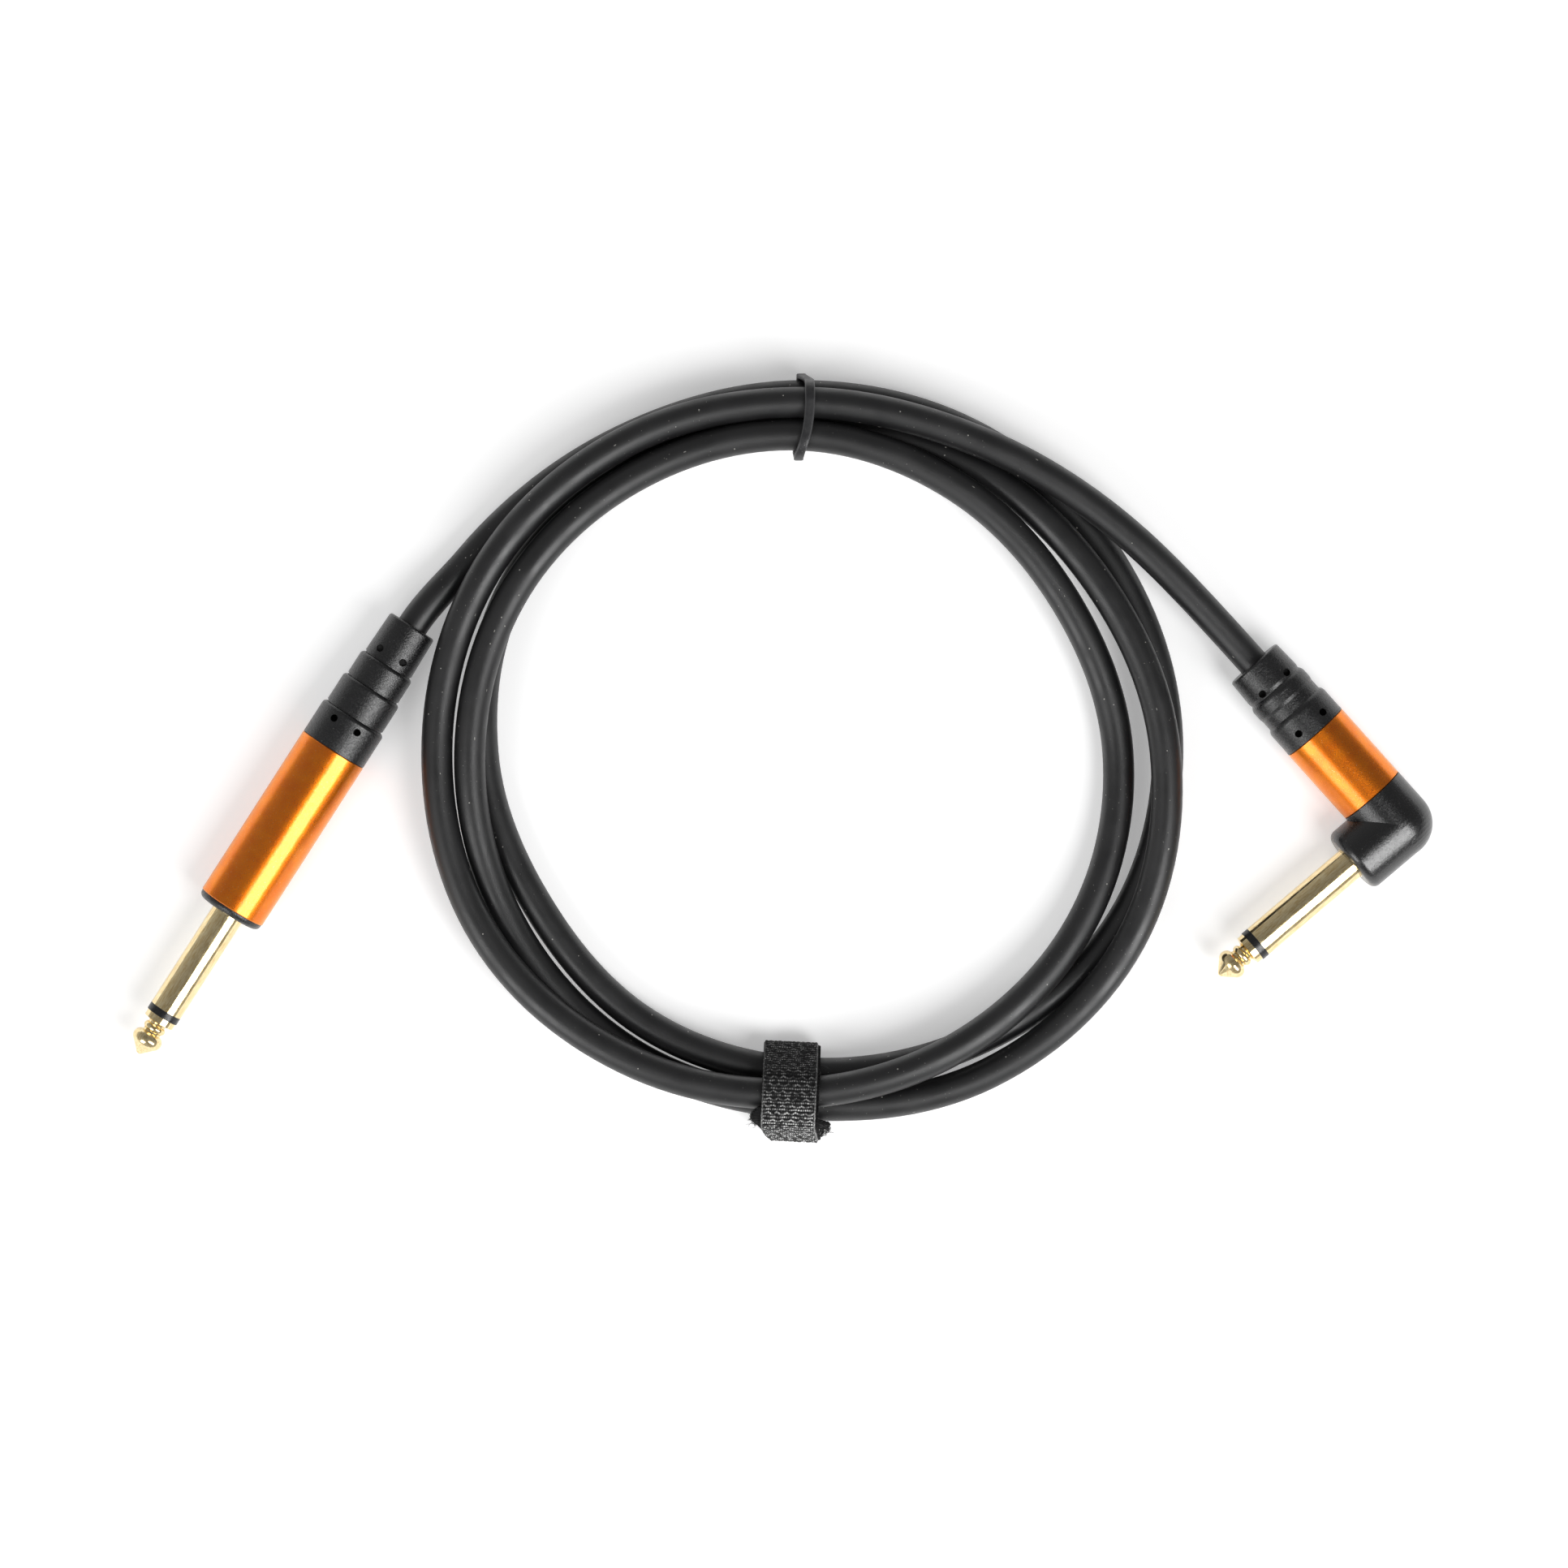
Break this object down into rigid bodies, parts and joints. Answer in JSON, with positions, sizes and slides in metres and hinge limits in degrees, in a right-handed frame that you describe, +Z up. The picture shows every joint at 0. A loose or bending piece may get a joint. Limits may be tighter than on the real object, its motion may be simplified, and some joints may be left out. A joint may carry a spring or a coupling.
{
  "type": "instrument cable",
  "caption": "Coiled instrument cable with a straight and a right-angled quarter-inch phone plug, held by a hook-and-loop tie and a rubber band.",
  "frame": {"origin": "middle of the box around the whole cable, on the plane it lies on", "axes": "+Z up off that plane, +X from the straight plug's side of the coil towards the right-angled plug's side"},
  "size_m": [0.2447, 0.1451, 0.0148],
  "materials": {
    "cable_jacket": "matte black flexible PVC",
    "gold_plating": "polished gold plating",
    "ring_plastic": "black",
    "tube_plastic": "natural",
    "rod_steel": "turned",
    "tinned_metal": "tin-plated",
    "copper": "bare stranded copper",
    "core_insulation": "white",
    "moulded_plastic": "satin black with a fine grain",
    "filling_plastic": "as moulded",
    "anodised_metal": "satin orange anodising",
    "tie_fabric": "woven black hook-and-loop tape",
    "band_rubber": "black"
  },
  "bodies": {
    "cable_and_plugs": {"cable": "cable_jacket", "straight_tip": "gold_plating", "straight_tip_ring": "ring_plastic", "straight_sleeve": "gold_plating", "straight_inner_tube": "tube_plastic", "straight_rod": "rod_steel", "straight_tip_lug": "tinned_metal", "straight_ground_clamp": "tinned_metal", "straight_conductor": "copper", "straight_core_wire": "core_insulation", "straight_shield_tail": "copper", "straight_front_moulding": "moulded_plastic", "straight_inner_moulding": "filling_plastic", "straight_barrel": "anodised_metal", "straight_boot": "moulded_plastic", "angled_tip": "gold_plating", "angled_tip_ring": "ring_plastic", "angled_sleeve": "gold_plating", "angled_inner_tube": "tube_plastic", "angled_rod": "rod_steel", "angled_tip_lug": "tinned_metal", "angled_ground_clamp": "tinned_metal", "angled_conductor": "copper", "angled_core_wire": "core_insulation", "angled_shield_tail": "copper", "angled_elbow": "moulded_plastic", "angled_inner_moulding": "filling_plastic", "angled_barrel": "anodised_metal", "angled_boot": "moulded_plastic"},
    "tie": {"hook_loop_tie": "tie_fabric"},
    "band": {"rubber_band": "band_rubber"}
  },
  "joints": [
    {"name": "tie_slides_on_bundle", "type": "hinge", "parent": "cable_and_plugs", "child": "tie", "pos_m": [0.00375, 0.0011, 0], "axis": [0, 0, 1], "range_deg": [-3, 3]},
    {"name": "band_slides_on_bundle", "type": "hinge", "parent": "cable_and_plugs", "child": "band", "pos_m": [0.00375, 0.0011, 0], "axis": [0, 0, 1], "range_deg": [-4, 4]}
  ]
}
